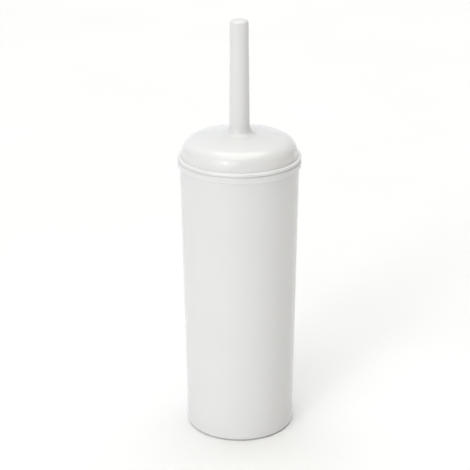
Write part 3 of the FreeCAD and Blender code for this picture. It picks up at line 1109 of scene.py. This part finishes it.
class BRUSHSET_OT_stage(bpy.types.Operator):
    """Set up the pale floor, the soft lights and the camera"""

    bl_idname = "brush_set.stage"
    bl_label = "Stage"

    def floor(self):
        """A wide level floor that the holder stands on."""
        half = FLOOR_HALF_WIDTH
        corners = [(-half, -half, 0.0), (half, -half, 0.0), (half, half, 0.0), (-half, half, 0.0)]
        plane = new_piece("floor", corners, [], [(0, 1, 2, 3)])
        plane.data.materials.append(material_for("pale_floor"))

    def soft_light(self, name, bearing, height, spread, brightness, tint):
        """A distant soft light of this bearing, height and spread in degrees."""
        bearing, height = math.radians(bearing), math.radians(height)
        level = math.cos(height)
        towards = Vector((math.sin(bearing) * level, -math.cos(bearing) * level, math.sin(height)))
        light = bpy.data.lights.new(name, "SUN")
        light.energy = brightness
        light.angle = math.radians(spread)
        light.color = tint
        lamp = bpy.data.objects.new(name, light)
        lamp.rotation_euler = towards.to_track_quat("Z", "Y").to_euler()
        bpy.context.scene.collection.objects.link(lamp)

    def surroundings(self, horizon, zenith):
        """Pale surroundings that are brightest near the horizon."""
        world = bpy.data.worlds.new("surroundings")
        world.use_nodes = True
        nodes = NodeBuilder(world.node_tree)
        height = nodes.split(nodes.add("ShaderNodeTexCoord").outputs["Generated"])[2]
        fade = {
            "Value": height, "From Min": FADE_START, "From Max": FADE_END, "To Min": horizon, "To Max": zenith
        }
        brightness = nodes.add("ShaderNodeMapRange", fade, interpolation_type="SMOOTHSTEP").outputs["Result"]
        background = world.node_tree.nodes["Background"]
        background.inputs["Color"].default_value = (1.0, 1.0, 1.0, 1.0)
        nodes.feed(background.inputs["Strength"], brightness)
        bpy.context.scene.world = world

    def camera(self):
        """A long lens above and in front of the holder, turned very slightly off its axis."""
        lens = bpy.data.cameras.new("camera")
        lens.sensor_width = SENSOR_WIDTH
        lens.lens = FOCAL_LENGTH
        lens.clip_end = CAMERA_REACH
        camera = bpy.data.objects.new("camera", lens)
        level = math.cos(CAMERA_PITCH)
        ahead = Vector((math.sin(CAMERA_YAW) * level, math.cos(CAMERA_YAW) * level, -math.sin(CAMERA_PITCH)))
        right = Vector((math.cos(CAMERA_YAW), -math.sin(CAMERA_YAW), 0.0))
        up = right.cross(ahead)
        rolled_right = right * math.cos(CAMERA_ROLL) + up * math.sin(CAMERA_ROLL)
        rolled_up = up * math.cos(CAMERA_ROLL) - right * math.sin(CAMERA_ROLL)
        turn = Matrix((rolled_right, rolled_up, -ahead)).transposed()
        camera.matrix_world = Matrix.Translation(CAMERA_PLACE) @ turn.to_4x4()
        bpy.context.scene.collection.objects.link(camera)
        bpy.context.scene.camera = camera

    def execute(self, context):
        settings = context.scene.brush_set.stage
        context.scene.view_settings.view_transform = "Standard"
        self.floor()
        self.surroundings(settings.horizon, settings.zenith)
        for name, bearing, height, spread, tint in SOFT_LIGHTS:
            self.soft_light(name, bearing, height, spread, getattr(settings, name), tint)
        self.camera()
        return {"FINISHED"}


class BRUSHSET_PT_sidebar(bpy.types.Panel):
    """Lists the brush set's sizes and operators"""

    bl_idname = "BRUSHSET_PT_sidebar"
    bl_label = "Brush set"
    bl_space_type = "VIEW_3D"
    bl_region_type = "UI"
    bl_category = "Brush set"

    def draw(self, context):
        settings = context.scene.brush_set
        for group in BrushSetSettings.__annotations__:
            box = self.layout.box()
            box.label(text=group.capitalize())
            values = getattr(settings, group)
            for name in values.__annotations__:
                box.prop(values, name)
        for operator in OPERATORS:
            self.layout.operator(operator.bl_idname)


OPERATORS = (
    BRUSHSET_OT_holder,
    BRUSHSET_OT_soft_ring,
    BRUSHSET_OT_drip_cup,
    BRUSHSET_OT_lid,
    BRUSHSET_OT_handle,
    BRUSHSET_OT_washer,
    BRUSHSET_OT_bristles,
    BRUSHSET_OT_carried_parts,
    BRUSHSET_OT_stage,
)

CLASSES = (
    BrushSetHolderSizes,
    BrushSetRingSizes,
    BrushSetCupSizes,
    BrushSetLidSizes,
    BrushSetHandleSizes,
    BrushSetWasherSizes,
    BrushSetBristleSizes,
    BrushSetColours,
    BrushSetStage,
    BrushSetSettings,
    *OPERATORS,
    BRUSHSET_PT_sidebar,
)


def register():
    """Makes the brush set's classes and settings known to Blender."""
    for each in CLASSES:
        bpy.utils.register_class(each)
    bpy.types.Scene.brush_set = PointerProperty(type=BrushSetSettings)


def unregister():
    """Takes the settings and classes away again."""
    del bpy.types.Scene.brush_set
    for each in reversed(CLASSES):
        bpy.utils.unregister_class(each)


def main():
    """Builds every piece and the stage."""
    register()
    for operator in OPERATORS:
        group, name = operator.bl_idname.split(".")
        getattr(getattr(bpy.ops, group), name)()


if __name__ == "__main__":
    main()
